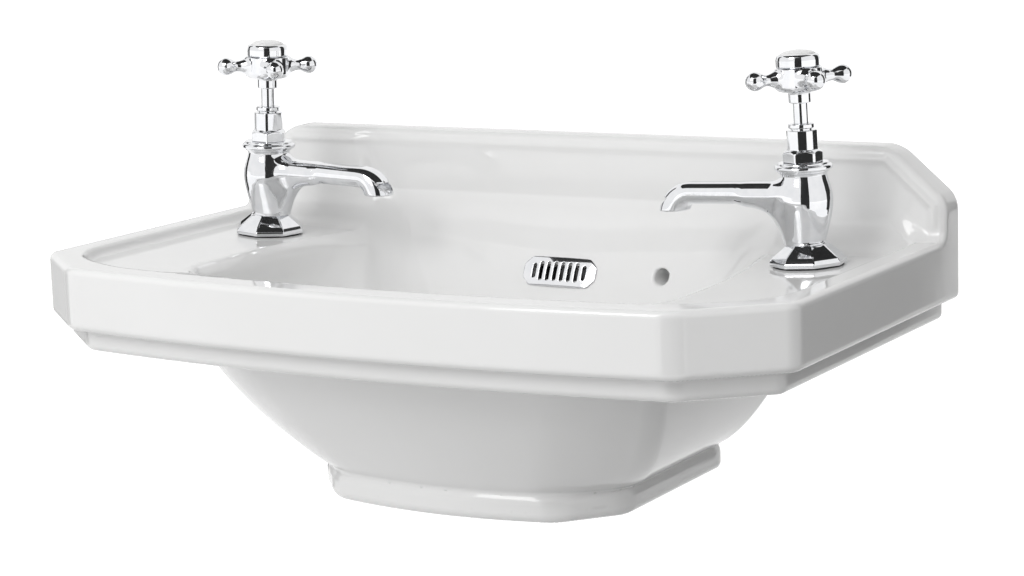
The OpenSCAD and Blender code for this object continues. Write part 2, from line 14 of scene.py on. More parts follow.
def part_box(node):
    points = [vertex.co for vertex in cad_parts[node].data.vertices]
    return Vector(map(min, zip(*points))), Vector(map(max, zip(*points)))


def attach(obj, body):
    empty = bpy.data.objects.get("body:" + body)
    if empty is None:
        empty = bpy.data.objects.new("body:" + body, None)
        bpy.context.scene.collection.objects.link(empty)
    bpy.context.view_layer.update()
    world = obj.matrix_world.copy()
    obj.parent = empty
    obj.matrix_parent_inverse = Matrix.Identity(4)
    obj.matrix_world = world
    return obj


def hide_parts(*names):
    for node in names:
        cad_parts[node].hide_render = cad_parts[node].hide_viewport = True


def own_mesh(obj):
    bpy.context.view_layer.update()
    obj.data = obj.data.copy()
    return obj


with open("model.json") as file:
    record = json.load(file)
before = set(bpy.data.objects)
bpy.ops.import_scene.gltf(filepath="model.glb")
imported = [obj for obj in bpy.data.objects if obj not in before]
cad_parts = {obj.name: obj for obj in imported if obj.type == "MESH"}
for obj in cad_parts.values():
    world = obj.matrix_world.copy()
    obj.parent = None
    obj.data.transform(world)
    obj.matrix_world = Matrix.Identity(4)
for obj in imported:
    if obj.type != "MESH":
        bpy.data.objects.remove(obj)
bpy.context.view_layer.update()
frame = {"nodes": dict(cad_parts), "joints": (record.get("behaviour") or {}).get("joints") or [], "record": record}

MM = 0.001
COARSE = 1.0


def box_mm(node):
    """Lowest and highest corner of a CAD node, in millimetres."""
    low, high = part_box(node)
    return np.array(low) / MM, np.array(high) / MM


# ---------------------------------------------------------------- rounding

def meet(r, *fields):
    """Where all the solids meet, with every edge rounded to radius r."""
    total, most = 0.0, -1e9
    for f in fields:
        total = total + np.maximum(f + r, 0.0) ** 2
        most = np.maximum(most, f)
    return np.minimum(most, -r) + np.sqrt(total)


def join(r, *fields):
    """All the solids as one, with every inner corner filled to radius r."""
    return -meet(r, *[-f for f in fields])


def cut(r, solid, hole):
    """The solid with a hole in it, whose rim is rounded to radius r."""
    return meet(r, solid, -hole)


def ease(a, b, x):
    """0 at a, 1 at b, smooth between."""
    t = np.clip((x - a) / (b - a), 0.0, 1.0)
    return t * t * (3.0 - 2.0 * t)


def smooth_curve(points, window, step=0.25):
    """A function through points (x, value), rounded over the window."""
    xs, ys = np.array(points, float).T
    fine = np.arange(xs[0] - window, xs[-1] + window + step, step)
    raw = np.interp(fine, xs, ys)
    raw += np.minimum(fine - xs[0], 0) * (ys[1] - ys[0]) / (xs[1] - xs[0])
    raw += np.maximum(fine - xs[-1], 0) * (ys[-1] - ys[-2]) / (xs[-1] - xs[-2])
    width = max(3, int(window / step))
    kernel = np.hanning(width + 2)
    rounded = np.convolve(raw, kernel / kernel.sum(), "same")
    keep = slice(width, -width)
    return lambda x: np.interp(x, fine[keep], rounded[keep])


# ---------------------------------------------------------------- a solid's skin

BLOCK = 4  # grid points along a block's side


def sample_grid(field, low, high, step):
    """The field on a grid, worked out only in the blocks that the surface may cross."""
    size = BLOCK * step
    count = np.ceil((high - low) / size).astype(int)
    axes = [low[i] + size * (np.arange(count[i]) + 0.5) - step / 2 for i in range(3)]
    middle = field(*np.meshgrid(*axes, indexing="ij"))
    near = np.abs(middle) < size
    for axis in range(3):
        change = np.diff(np.signbit(middle), axis=axis)
        lower = [slice(None)] * 3
        upper = [slice(None)] * 3
        lower[axis], upper[axis] = slice(None, -1), slice(1, None)
        near[tuple(lower)] |= change
        near[tuple(upper)] |= change
    grid = middle
    for axis in range(3):
        grid = np.repeat(grid, BLOCK, axis=axis)
    grid = np.where(grid < 0, -size, size)
    offsets = np.stack(np.meshgrid(*[np.arange(BLOCK)] * 3, indexing="ij"), -1).reshape(-1, 3)
    for blocks in np.array_split(np.argwhere(near), max(1, int(near.sum() / 20000))):
        at = (blocks[:, None, :] * BLOCK + offsets[None]).reshape(-1, 3)
        x, y, z = (low + at * step).T
        grid[at[:, 0], at[:, 1], at[:, 2]] = field(x, y, z)
    return grid


def slope(field, p, reach):
    """The field and its gradient at the points p."""
    value = field(*p.T)
    gradient = np.empty_like(p)
    for axis in range(3):
        nudge = np.zeros(3)
        nudge[axis] = reach
        gradient[:, axis] = (field(*(p + nudge).T) - field(*(p - nudge).T)) / (2 * reach)
    return value, gradient


def skin(field, low, high, step):
    """Points, normals and four-sided faces of the surface where the field is zero."""
    low, high = np.array(low, float), np.array(high, float)
    grid = sample_grid(field, low, high, step)
    inside = grid < 0
    n = np.array(grid.shape)
    corners = [(i, j, k) for i in (0, 1) for j in (0, 1) for k in (0, 1)]

    def shifted(a, c):
        return a[c[0]:n[0] - 1 + c[0], c[1]:n[1] - 1 + c[1], c[2]:n[2] - 1 + c[2]]

    held = sum(shifted(inside, c).astype(np.int8) for c in corners)
    cells = np.argwhere((held > 0) & (held < 8))
    index = np.full(tuple(n - 1), -1, np.int64)
    index[tuple(cells.T)] = np.arange(len(cells))

    total = np.zeros((len(cells), 3))
    crossings = np.zeros(len(cells))
    for a in corners:
        for axis in range(3):
            if a[axis]:
                continue
            b = tuple(1 if i == axis else a[i] for i in range(3))
            fa = grid[tuple((cells + a).T)]
            fb = grid[tuple((cells + b).T)]
            crossed = (fa < 0) != (fb < 0)
            share = np.where(crossed, fa / np.where(crossed, fa - fb, 1.0), 0.0)
            point = np.array(a, float) + share[:, None] * (np.array(b) - np.array(a))
            total += np.where(crossed[:, None], point, 0.0)
            crossings += crossed
    p = low + (cells + total / crossings[:, None]) * step
    for _ in range(4):
        value, gradient = slope(field, p, 0.02 * step)
        move = -value[:, None] * gradient / np.maximum((gradient ** 2).sum(1), 1e-9)[:, None]
        far = np.maximum(np.linalg.norm(move, axis=1) / (0.6 * step), 1.0)
        p += move / far[:, None]
    gradient = slope(field, p, 0.04 * step)[1]
    normals = gradient / np.maximum(np.linalg.norm(gradient, axis=1), 1e-9)[:, None]

    faces = []
    for axis in range(3):
        u, v = (axis + 1) % 3, (axis + 2) % 3
        first = [slice(1, -1)] * 3
        second = [slice(1, -1)] * 3
        first[axis], second[axis] = slice(0, -1), slice(1, None)
        before, after = inside[tuple(first)], inside[tuple(second)]
        at = np.argwhere(before != after) + 1
        at[:, axis] -= 1
        around = []
        for du, dv in ((-1, -1), (0, -1), (0, 0), (-1, 0)):
            cell = at.copy()
            cell[:, u] += du
            cell[:, v] += dv
            around.append(index[tuple(cell.T)])
        quads = np.stack(around, 1)
        flip = inside[tuple(at.T)]
        quads[~flip] = quads[~flip][:, ::-1]
        faces.append(quads)
    return p, normals, np.concatenate(faces)


def make_object(name, points, faces, normals=None):
    """A smooth-shaded object from points in millimetres."""
    mesh = bpy.data.meshes.new(name)
    if isinstance(faces, np.ndarray):
        sides = faces.shape[1]
        mesh.vertices.add(len(points))
        mesh.vertices.foreach_set("co", (np.asarray(points) * MM).ravel())
        mesh.loops.add(faces.size)
        mesh.loops.foreach_set("vertex_index", faces.ravel().astype(np.int32))
        mesh.polygons.add(len(faces))
        mesh.polygons.foreach_set("loop_start", np.arange(0, faces.size, sides, dtype=np.int32))
        mesh.update(calc_edges=True)
    else:
        mesh.from_pydata([tuple(np.array(p) * MM) for p in points], [], faces)
        mesh.update()
    mesh.polygons.foreach_set("use_smooth", np.ones(len(mesh.polygons), bool))
    if normals is not None:
        mesh.normals_split_custom_set_from_vertices([tuple(v) for v in normals])
    piece = bpy.data.objects.new(name, mesh)
    bpy.context.scene.collection.objects.link(piece)
    return piece


# ---------------------------------------------------------------- the basin's sizes

rim_low, rim_high = box_mm("basin")
HALF_W = rim_high[0]
DEPTH = -rim_low[1]
UP_H = rim_high[2]
FOOT_Z = rim_low[2]
FRONT_BOW = 15.8
CORNER = (HALF_W - 52.6, FRONT_BOW - DEPTH)  # where the bowed front meets a corner face
SIDE_END = CORNER[1] + 47.0  # where a side meets a corner face
APRON_Z = -38.7
MOULD_Z = -52.6
MOULD_IN = 11.0
LIP = 17.5  # from the rim's edge to the recess
DECK_IN = 22.0
DECK_EDGE_Z = -6.2
DECK_SLOPE = 0.0407
FRONT_SLOPE = 0.075
BOWL_Z = -116.0
FLOOR_SLOPE = 0.035
BACK_SLOPE = 0.4927  # how far the bowl's back wall leans for each millimetre of height
FOOT_TOP = -136.5
DRAIN_Y = -130.0
DRAIN_R = 22.75
SEAT_R = 34.0  # the recess that the waste's flange sits in
SEAT_Z = -120.7
POCKET_TOP = -141.0
CHAIN_X, CHAIN_Z, CHAIN_R = 73.0, -30.0, 5.0  # the hole for a plug chain
BOLT_X, BOLT_Z, BOLT_R = 200.0, -36.0, 6.0  # the holes for the wall bolts
TAP_HOLE_R = 14.0
TAP_SEAT_R = 22.0  # the flat round a tap hole under the deck
BASIN_STEP = 1.7  # size of the casting's mesh


def arc_distance(x, y, middle, bow, half):
    """Distance past a bowed front whose middle and ends are given."""
    radius = (half ** 2 + bow ** 2) / (2 * bow)
    return np.hypot(x, y - (middle + radius)) - radius


def plane_through(x, y, a, b):
    """Distance past the vertical plane through the plan points a and b, away from the middle."""
    along = np.array(b, float) - np.array(a, float)
    out = np.array([-along[1], along[0]]) / np.hypot(*along)
    if out @ np.array(a) < 0:
        out = -out
    return (x - a[0]) * out[0] + (y - a[1]) * out[1]


def rim_faces(x, y):
    """Distances past the rim's sides, corner faces and bowed front."""
    ax = np.abs(x)
    corner = plane_through(ax, y, (HALF_W, SIDE_END), CORNER)
    return ax - HALF_W, corner, arc_distance(x, y, -DEPTH, FRONT_BOW, CORNER[0])


def corner_plane(x, y, x0, y0, x1, y1):
    """Distance past a corner face whose ends vary with height."""
    dx, dy = x1 - x0, y1 - y0
    length = np.sqrt(dx * dx + dy * dy)
    return ((x - x0) * (-dy) + (y - y0) * dx) / length


def plan_field(x, y, p, r):
    """Distance outside an eight-sided plan with a bowed front and back corner faces. p holds the
    half-width, the side's front end, the front corner x and y, the bow, the back corner x,
    the back y and the side's back end; each may vary with height."""
    hw, side_y, cx, cy, bow, bx, by, side_back = p
    ax = np.abs(x)
    side = ax - hw
    corner = corner_plane(ax, y, hw, side_y, cx, cy)
    front = cy - bow * (1 - (np.minimum(ax, cx * 1.2) / cx) ** 2) - y
    back = y - by
    rear = -corner_plane(ax, y, hw, side_back, bx, by)
    return meet(r, side, corner, front, back, rear)


def mix(a, b, shares):
    """Each value of plan a moved towards plan b by its own share."""
    return [p + (q - p) * s for p, q, s in zip(a, b, shares)]


FOOT_PLAN = (109.1, -158.4, 78.8, -194.1, 10.6, 107.1, -25.3, -27.3)
UNDER_PLAN = (161.1, -219.0, 130.0, -244.2, 15.0, 159.1, -8.0, -10.0)
OPEN_PLAN = (162.0, -222.0, 105.0, -240.0, 7.0, 138.0, -30.5, -100.0)
FLOOR_PLAN = (72.0, -168.0, 46.0, -182.0, 4.0, 46.0, -92.0, -112.0)
POCKET_PLAN = (95.1, -152.0, 72.0, -179.0, 9.0, 89.1, -39.0, -45.0)

bowl_side = smooth_curve([(-125, 0.5), (-84, 0.27), (-52.6, 0.145), (-31, 0.055), (-9, 0), (20, -0.05)], 12)
bowl_front = smooth_curve([(-125, 0.78), (-84, 0.43), (-52.6, 0.155), (-31, 0.05), (-9, 0), (20, -0.03)], 12)


def bowl_space(x, y, z):
    """The space inside the bowl, open at the top."""
    side, front = bowl_side(z), bowl_front(z)
    plan = mix(OPEN_PLAN, FLOOR_PLAN, (side, front, front, front, front, side, side, side))
    back_y = -30.5 + (z + 10.0) * BACK_SLOPE + 0.0022 * np.maximum(-60 - z, 0) ** 2
    plan[5] = 138.0 + (z + 10.0) * 0.72
    plan[6] = np.minimum(back_y, -18.0)
    walls = plan_field(x, y, plan, 17.0)
    drain = np.hypot(x, y - DRAIN_Y)
    floor = BOWL_Z + FLOOR_SLOPE * np.maximum(drain - SEAT_R, 0)
    return meet(24.0, walls, floor - z)


def deck_height(x, y):
    """Height of the sunk deck, which falls towards the bowl."""
    side, corner, front = rim_faces(x, y)
    from_side = DECK_EDGE_Z + DECK_SLOPE * (side + DECK_IN)
    from_front = DECK_EDGE_Z + FRONT_SLOPE * (np.maximum(front, corner) + DECK_IN)
    return np.maximum(np.maximum(from_side, from_front), -40.0)


UP_FOOT_Y = -25.0  # the upstand's face at the deck
UP_TOP_Y = -20.0
SWEEP_R = 26.0
UP_CW = 36.5
UP_CH = 31.6
BEAD_IN = 8.0
BEAD_W = 2.6
BEAD_H = 1.5


def upstand_outline(x, z):
    """Distance outside the upstand's outline, seen from the front."""
    ax = np.abs(x)
    length = math.hypot(UP_CW, UP_CH)
    sloped = ((ax - HALF_W) * UP_CH + (z - UP_H + UP_CH) * UP_CW) / length
    return meet(5.5, ax - HALF_W, sloped, z - UP_H)


def top_surface(x, y, z):
    """Rim, sunk deck and upstand face as one surface, without the sides."""
    side, corner, front = rim_faces(x, y)
    inner = meet(16.0, side + LIP, corner + LIP + 2, front + LIP + 4)
    recess = meet(5.0, inner, deck_height(x, y) - z)
    slab = cut(3.2, z, recess)
    outline = upstand_outline(x, z)
    lean = (UP_TOP_Y - UP_FOOT_Y) / (UP_H + 8.0)
    face = UP_FOOT_Y + lean * (z + 8.0)
    bead = BEAD_H * np.exp(-((outline + BEAD_IN) / BEAD_W) ** 2) * ease(2.0, 12.0, z)
    wall = np.maximum(face - bead - y, z - UP_H - 20.0)
    radius = 7.0 + (SWEEP_R - 7.0) * ease(HALF_W - 10.0, HALF_W - 34.0, np.abs(x))
    return join(radius, slab, wall)


def upper_body(x, y, z):
    """Apron and upstand, before the bowl is taken out."""
    _, corner, front = rim_faces(x, y)
    plan = meet(5.0, upstand_outline(x, z), corner, front)
    return meet(4.2, plan, top_surface(x, y, z), APRON_Z - z)


def moulding(x, y, z):
    """The step under the apron."""
    side, corner, front = rim_faces(x, y)
    plan = meet(4.0, side + MOULD_IN, corner + MOULD_IN, front + MOULD_IN)
    return np.maximum(meet(4.5, plan, MOULD_Z - z), z + 24.0)


def under_bowl(x, y, z):
    """The outside of the bowl, flaring from the foot up to the moulding."""
    s = np.clip((z - FOOT_TOP) / (MOULD_Z - FOOT_TOP), 0.0, 1.0)
    side = (1 - (1 - s) ** 1.4 + 1e-4) ** 0.65
    front = (s + 1e-4) ** 0.85
    plan = mix(FOOT_PLAN, UNDER_PLAN, (side, front, front, front, front, side, s, s))
    inset = 3.0 * (1 - s)
    plan[0], plan[5] = plan[0] - inset, plan[5] - inset
    plan[2], plan[3] = plan[2] - 0.7 * inset, plan[3] + inset
    return plan_field(x, y, plan, 9.0)


def bowl_shell(x, y, z):
    """The outside of the bowl as a true distance, however steeply it flares."""
    body = under_bowl(x, y, z)
    rate = (under_bowl(x, y, z + 0.2) - body) / 0.2
    body = body / np.sqrt(1.0 + rate * rate)
    return np.maximum(np.maximum(body, z + 30.0), FOOT_TOP - 6.0 - z)


def foot(x, y, z):
    """The plinth under the bowl."""
    walls = plan_field(x, y, FOOT_PLAN, 7.0)
    return meet(5.5, walls, FOOT_Z - z, z - FOOT_TOP)


def slab_box(r, x, y, z, low, high):
    """A box with rounded edges."""
    return meet(r, low[0] - x, x - high[0], low[1] - y, y - high[1], low[2] - z, z - high[2])


def under_deck(x, y, z):
    """The hollows under the two tap decks, for nuts and wall bolts."""
    ax = np.abs(x)
    corner = plane_through(ax, y, (231.0, -226.0), (205.0, -247.0))
    box = slab_box(7.0, ax, y, z, (171.0, -244.0, -80.0), (231.0, -16.0, -24.0))
    return meet(7.0, box, corner)


def rod(a, b, along, low, high, radius):
    """A round hole with flat ends; a and b are measured from its axis."""
    return np.maximum(np.hypot(a, b) - radius, np.maximum(low - along, along - high))


def tap_frame(side):
    """The matrix that puts a tap, whose spout points along its own -x, in its place."""
    name = "cold_turn" if side > 0 else "hot_turn"
    joint = [j for j in frame["joints"] if j["name"] == name][0]
    up = Vector(joint["axis"]).normalized()
    across = Vector((0, 1 if side > 0 else -1, 0))
    out = across.cross(up)
    place = Matrix((out, across, up)).transposed().to_4x4()
    place.translation = Vector(joint["pos_m"]) / MM
    return place


TAP_PLACE = {side: tap_frame(side) for side in (-1, 1)}


def tap_local(side, x, y, z):
    """World points in a tap's own axes."""
    m = np.array(TAP_PLACE[side].inverted())
    return [m[i, 0] * x + m[i, 1] * y + m[i, 2] * z + m[i, 3] for i in range(3)]


GRILLE_AT = np.array((0.0, -40.85, -31.0))
WALL_ANGLE = math.radians(26.2)
GRILLE_OUT = np.array((0.0, -math.cos(WALL_ANGLE), math.sin(WALL_ANGLE)))


def grille_local(x, y, z):
    """World points in the grille's axes: across, up the bowl's back wall, and out of it."""
    dy, dz = y - GRILLE_AT[1], z - GRILLE_AT[2]
    up = (math.sin(WALL_ANGLE), math.cos(WALL_ANGLE))
    out = (-math.cos(WALL_ANGLE), math.sin(WALL_ANGLE))
    return x, dy * up[0] + dz * up[1], dy * out[0] + dz * out[1]


def overflow_way(x, y, z):
    """The channel behind the bowl's back wall, from the grille down to the waste."""
    steps = [(-27.0, -31), (-41, -84), (-53, -129), (-130, -129)]
    reach = 1e9
    for (y0, z0), (y1, z1) in zip(steps, steps[1:]):
        dy, dz = y1 - y0, z1 - z0
        t = np.clip(((y - y0) * dy + (z - z0) * dz) / (dy * dy + dz * dz), 0, 1)
        reach = np.minimum(reach, np.hypot(y - y0 - t * dy, z - z0 - t * dz))
    channel = meet(3.0, reach - 4.8, np.abs(x) - 22.0)
    u, v, w = grille_local(x, y, z)
    mouth = meet(1.5, np.abs(u) - 22.3, np.abs(v) - 6.8, w - 9.0, -14.0 - w)
    return np.minimum(channel, mouth)


def basin(x, y, z):
    """The whole casting."""
    body = join(2.5, upper_body(x, y, z), moulding(x, y, z))
    body = join(7.0, body, bowl_shell(x, y, z))
    body = join(4.5, body, foot(x, y, z))
    body = cut(9.0, body, bowl_space(x, y, z))
    body = cut(4.0, body, under_deck(x, y, z))
    pocket = meet(5.0, plan_field(x, y, POCKET_PLAN, 8.0), z - POCKET_TOP)
    body = cut(3.0, body, pocket)
    body = cut(1.2, body, overflow_way(x, y, z))
    drain = np.hypot(x, y - DRAIN_Y)
    body = cut(1.2, body, drain - DRAIN_R)
    body = cut(1.5, body, np.maximum(drain - SEAT_R, SEAT_Z - z))
    body = cut(1.6, body, rod(x - CHAIN_X, z - CHAIN_Z, y, -80.0, 10.0, CHAIN_R))
    body = cut(1.5, body, rod(np.abs(x) - BOLT_X, z - BOLT_Z, y, -30.0, 10.0, BOLT_R))
    for side in (-1, 1):
        u, v, w = tap_local(side, x, y, z)
        body = cut(1.2, body, rod(u, v, w, -26.0, 6.0, TAP_HOLE_R))
        body = cut(1.2, body, rod(u, v, w, -27.5, -15.5, TAP_SEAT_R))
    return meet(2.6, body, y)


def build_basin():
    """The casting's mesh, made within its CAD box and a little past it."""
    margin = 3 * BASIN_STEP * COARSE
    points, faces, normals = field_shape(basin, rim_low - margin, rim_high + margin, BASIN_STEP)
    return make_object("basin_casting", points, faces, normals)


# ---------------------------------------------------------------- turned pieces

def bend(a, b, c, count=8):
    """Points along a curve from a to c that leans towards b."""
    ts = [k / count for k in range(count + 1)]
    return [tuple((1 - t) ** 2 * p + 2 * t * (1 - t) * q + t * t * r for p, q, r in zip(a, b, c))
            for t in ts]


def soften(profile, closed):
    """A profile of (radius, height) or (radius, height, corner radius) points with its corners
    turned into arcs. Returns points and outward normals; the solid lies left of the path."""
    points = [np.array(p[:2], float) for p in profile]
    radii = [p[2] if len(p) > 2 else 0.0 for p in profile]
    out, normals = [], []
    n = len(points)
    for i, (p, r) in enumerate(zip(points, radii)):
        before = p - points[i - 1] if closed or i > 0 else None
        after = points[(i + 1) % n] - p if closed or i < n - 1 else None
        a = before / np.linalg.norm(before) if before is not None else None
        b = after / np.linalg.norm(after) if after is not None else None
        if a is None or b is None or r == 0:
            way = (a if a is not None else 0) + (b if b is not None else 0)
            way = way / np.linalg.norm(way)
            out.append(p)
            normals.append((way[1], -way[0]))
            continue
        turn = math.atan2(a[0] * b[1] - a[1] * b[0], a @ b)
        reach = r * math.tan(abs(turn) / 2)
        start = p - a * reach
        hand = 1.0 if turn > 0 else -1.0
        centre = start + hand * r * np.array((-a[1], a[0]))
        steps = max(2, int(abs(turn) / math.radians(15)))
        for k in range(steps + 1):
            angle = turn * k / steps
            c, sn = math.cos(angle), math.sin(angle)
            way = np.array((a[0] * c - a[1] * sn, a[0] * sn + a[1] * c))
            out.append(centre - hand * r * np.array((-way[1], way[0])))
            normals.append((way[1], -way[0]))
    return np.array(out), np.array(normals)


def turned(profile, closed=False, segments=96):
    """A lathe-turned piece about the z axis, with exact normals. Heights are in millimetres."""
    segments = max(24, int(segments / COARSE))
    path, flat = soften(profile, closed)
    points, normals, faces, rings = [], [], [], []
    for (r, h), (nr, nh) in zip(path, flat):
        if r < 1e-6:
            rings.append([len(points)] * segments)
            points.append((0.0, 0.0, h))
            normals.append((0.0, 0.0, math.copysign(1.0, nh)))
            continue
        rings.append(list(range(len(points), len(points) + segments)))
        for k in range(segments):
            a = 2 * math.pi * k / segments
            points.append((r * math.cos(a), r * math.sin(a), h))
            normals.append((nr * math.cos(a), nr * math.sin(a), nh))
    count = len(rings)
    for i in range(count if closed else count - 1):
        low, high = rings[i], rings[(i + 1) % count]
        for k in range(segments):
            m = (k + 1) % segments
            quad = [low[k], low[m], high[m], high[k]]
            faces.append([v for j, v in enumerate(quad) if v not in quad[:j]])
    return np.array(points), faces, np.array(normals)


def place_shape(name, shape, matrix):
    """Makes the object for a worked-out shape, moved by a matrix of millimetres."""
    points, faces, normals = shape
    m = np.array(matrix)
    return make_object(name, points @ m[:3, :3].T + m[:3, 3], faces, normals @ m[:3, :3].T)


# ---------------------------------------------------------------- taps

vase_radius = smooth_curve([(5, 11.0), (13, 11.2), (14.6, 11.0), (18, 12.2), (24, 13.9), (30, 15.4),
                            (35, 16.4), (39, 16.7), (44, 16.3), (49, 15.1), (53, 13.9), (57, 13.0),
                            (64, 12.6)], 4)
SPOUT_H = 43.6
SPOUT_BEND = 14.0
SPOUT_TIP = 87.8
OUTLET_H = 32.8
TAIL_R = 10.48
TAIL_END = -57.0
THREAD_HALF_INCH = 1.814
COLLAR_TOP = 62.0
HUB_R = 14.2
ARM_H = 111.8
BALL_AT = 27.5
BALL_R = 5.7
FLANGE_APOTHEM = 21.7
FLANGE_LOW, FLANGE_TOP = 1.0, 13.0
TURNS = {  # how far, in degrees, a faceted piece is screwed round from the tap's own axes
    ("cold", "bonnet"): 30.0,
    ("cold", "base_flange"): 10.0,
    ("hot", "base_flange"): -10.0,
}


def thread(r, x, y, z, pitch, crest):
    """Distance outside a screw thread whose crests are at the given radius."""
    turn = np.arctan2(y, x) / (2 * math.pi)
    phase = z / pitch - turn
    tooth = np.abs(phase - np.round(phase)) * 2
    depth = 0.55 * pitch
    return (r - crest + depth * np.clip((tooth - 0.15) / 0.7, 0, 1)) * 0.78


def spout(x, y, z):
    """A bar along -x that turns down to a round outlet."""
    knee = SPOUT_BEND - SPOUT_TIP
    dx, dz = x - knee, z - (SPOUT_H - SPOUT_BEND)
    bent = (dx < 0) & (dz > 0)
    radial = np.hypot(dx, dz)
    angle = np.arctan2(-dx, np.maximum(dz, 1e-6))
    down = (dx < 0) & (dz <= 0)
    across = np.where(bent, radial - SPOUT_BEND, np.where(down, -dx - SPOUT_BEND, z - SPOUT_H))
    share = np.where(bent, angle / (math.pi / 2), np.where(down, 1.0, 0.0))
    grow = ease(0.0, 0.9, share)
    along = np.clip(-x, 0, -knee)
    half_h = 6.7 - 0.2 * ease(20, 60, along) + 3.1 * grow
    half_w = 8.4 + 0.4 * ease(20, 70, along) + 1.2 * grow
    shift = 0.9 * grow
    bar = meet(5.6 + 4.2 * grow, np.abs(across + shift) - half_h, np.abs(y) - half_w)
    return meet(0.8, bar, OUTLET_H - z, x + 2.0)


def web(x, y, z):
    """The curved gusset under the spout."""
    hollow = 30.0 - np.hypot(x + 41.5, z - 7.4)
    return meet(4.5, hollow, np.abs(y) - 7.6, -40.0 - x, x - 2.0, z - 46.0, 10.0 - z)


def tap_body(x, y, z):
    """Body, collar, spout, gusset and threaded tail, with the bores in them."""
    r = np.hypot(x, y)
    vase = meet(0.4, r - vase_radius(z), 12.9 - z, z - 57.5)
    body = join(7.5, vase, web(x, y, z))
    body = join(6.0, body, spout(x, y, z))
    body = np.maximum(body, 12.9 - z)
    collar = meet(1.5, r - 17.4, 57.2 - z, z - 60.6)
    step = meet(0.7, r - 15.4, 56.0 - z, z - COLLAR_TOP)
    cuff = meet(0.5, r - 14.0, 55.0 - z, z - 58.0)
    body = join(1.0, body, join(0.5, collar, step), cuff)
    bead = np.hypot(r - 11.2, z - 13.6) - 0.75
    body = join(0.4, body, bead)
    tail = meet(0.8, thread(r, x, y, z, THREAD_HALF_INCH, TAIL_R), TAIL_END - z, z - 1.0)
    stem = np.maximum(r - TAIL_R, np.maximum(-14.0 - z, z - 14.0))
    body = np.minimum(np.minimum(body, tail), stem)
    body = cut(0.6, body, rod(x, y, z, TAIL_END - 5, -20.0, 6.5))
    outlet = rod(x + SPOUT_TIP, y, z, 20.0, 41.0, 7.6)
    body = cut(0.7, body, outlet)
    return cut(0.3, body, rod(x, y, z, 50.5, 70.0, 9.1))


def handle(x, y, z):
    """Hub, socket and four arms with balls."""
    r = np.hypot(x, y)
    hub = meet(0.5, meet(3.6, r - HUB_R, 103.8 - z, z - 121.0), z - 117.9)
    socket = meet(0.7, r - 6.7, 97.0 - z, z - 110.0)
    body = join(1.6, hub, socket)
    s = math.sqrt(0.5)
    u, v = (x + y) * s, (y - x) * s
    w = z - ARM_H
    for along, across in ((u, v), (v, u)):
        reach = np.abs(along)
        girth = np.hypot(across, w)
        neck = np.maximum(girth - arm_radius(reach), np.maximum(reach - 27.0, 6.0 - reach))
        ball = np.sqrt((reach - BALL_AT) ** 2 + girth ** 2) - BALL_R
        arm = join(2.2, neck, ball)
        body = join(1.8, body, arm)
    return cut(0.4, body, rod(x, y, z, 90.0, 104.0, 4.45))


arm_radius = smooth_curve([(4, 6.6), (13.5, 5.9), (16.0, 4.7), (18.5, 3.6), (21.0, 3.35), (24, 3.6),
                           (30, 4.2)], 3)


def prism(x, y, sides, apothem, turn=0.0):
    """Distances past each side of an upright prism."""
    found = []
    for k in range(sides):
        a = turn + 2 * math.pi * k / sides
        found.append(x * math.cos(a) + y * math.sin(a) - apothem)
    return found


def bonnet(x, y, z):
    """The headgear: a hexagon under an eight-sided barrel."""
    r = np.hypot(x, y)
    sides = prism(x, y, 6, 10.57, math.pi / 6)
    crown = (r - 11.0 + (z - 68.2) * 1.3) * 0.6
    hexagon = meet(0.35, np.maximum.reduce(sides), r - 11.9, crown, COLLAR_TOP - z, z - 69.5)
    flats = np.maximum.reduce(prism(x, y, 8, 9.0))
    barrel = meet(0.45, flats, r - 9.45, z - 81.0, 66.0 - z)
    shank = meet(0.3, r - 8.95, 51.0 - z, z - 67.0)
    body = np.minimum(join(0.5, hexagon, barrel), shank)
    return cut(0.3, body, rod(x, y, z, 40.0, 90.0, 4.55))


def base_flange(x, y, z):
    """The eight-sided foot of a tap: an upright edge, a steep bevel and a pyramid up to the body."""
    planes = [FLANGE_LOW - z, z - FLANGE_TOP]
    for out in prism(x, y, 8, FLANGE_APOTHEM):
        planes.append(out)
        planes.append(0.837 * out + 0.547 * (z - 3.4))
        planes.append(0.64 * (out + 1.7) + 0.768 * (z - 6.0))
    r = np.hypot(x, y)
    neck = meet(0.4, r - 12.0, FLANGE_LOW - z, z - FLANGE_TOP)
    return cut(0.2, join(1.0, meet(0.4, *planes), neck), r - 10.6)


def back_nut(x, y, z):
    """A hexagonal nut with its own washer."""
    r = np.hypot(x, y)
    washer = meet(0.5, r - 18.0, -20.0 - z, z + 17.5)
    sides = np.maximum.reduce(prism(x, y, 6, 13.5, math.pi / 6))
    crown = (r - 15.2 - (z + 26.4)) * 0.7
    body = join(0.4, washer, meet(0.5, sides, crown, -27.0 - z, z + 19.0))
    return cut(0.4, body, r - TAIL_R - 0.05)


def field_shape(field, low, high, step):
    """The shape of a solid that is given by its field, within a box."""
    points, normals, faces = skin(field, low, high, step * COARSE)
    return points, faces, normals


